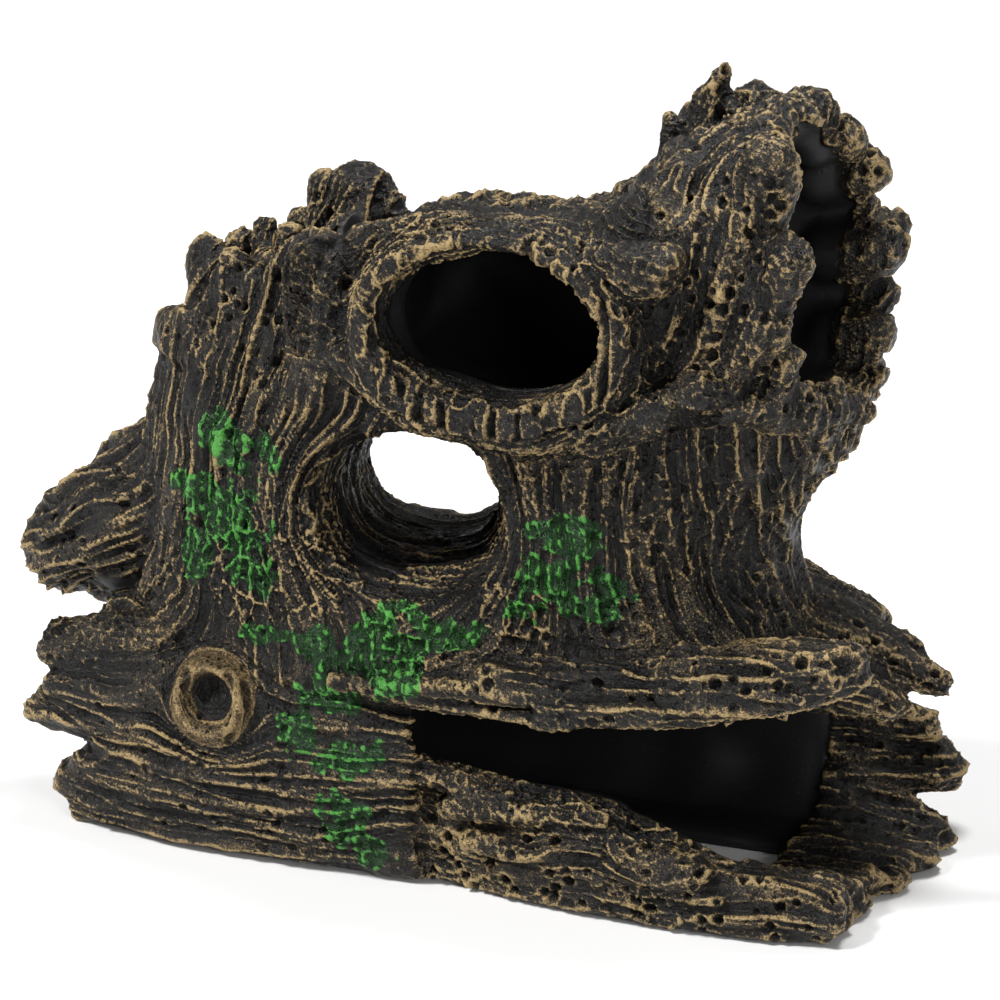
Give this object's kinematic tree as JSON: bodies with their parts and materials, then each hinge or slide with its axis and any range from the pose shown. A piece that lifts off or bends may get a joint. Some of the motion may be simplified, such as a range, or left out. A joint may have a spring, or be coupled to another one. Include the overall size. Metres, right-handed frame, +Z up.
{
  "type": "aquarium cave ornament",
  "caption": "Hollow driftwood log and stump ornament in painted resin, with a long front window, a through tunnel, an oval opening and broken open ends for fish to swim through.",
  "frame": {"origin": "middle of the footprint, on the plane that the ornament stands on", "axes": "+X along the log towards its flared mouth, +Y to the rear, +Z up"},
  "size_m": [0.2106, 0.0864, 0.172],
  "materials": {
    "resin_bark": "charcoal cast resin, dry-brushed tan on the ridges",
    "resin_sill": "charcoal cast resin with a heavier tan dry brush",
    "resin_collar": "charcoal cast resin, greyer on the rounded lip",
    "resin_knot": "tan painted rim, pitted",
    "resin_tunnel": "dark cast resin",
    "resin_core": "smooth satin black resin inside the hollows",
    "raw_edge": "unpainted grey resin on cut edges",
    "moss_paint": "glossy green moss paint"
  },
  "bodies": {
    "root": {"branch_front_shell": "resin_bark", "branch_mouth_crown": "resin_bark", "branch_rear_shell": "resin_bark", "knot_ring": "resin_knot", "left_root": "resin_bark", "log_front_shell": "resin_bark", "log_left_crown": "resin_bark", "log_rear_shell": "resin_bark", "log_right_flare": "resin_bark", "oval_collar": "resin_collar", "right_root": "resin_bark", "stump_front_half": "resin_bark", "stump_left_crown": "resin_bark", "stump_rear_half": "resin_bark", "tunnel_sleeve": "resin_tunnel", "window_lintel": "resin_bark", "window_sill": "resin_sill"}
  },
  "joints": []
}
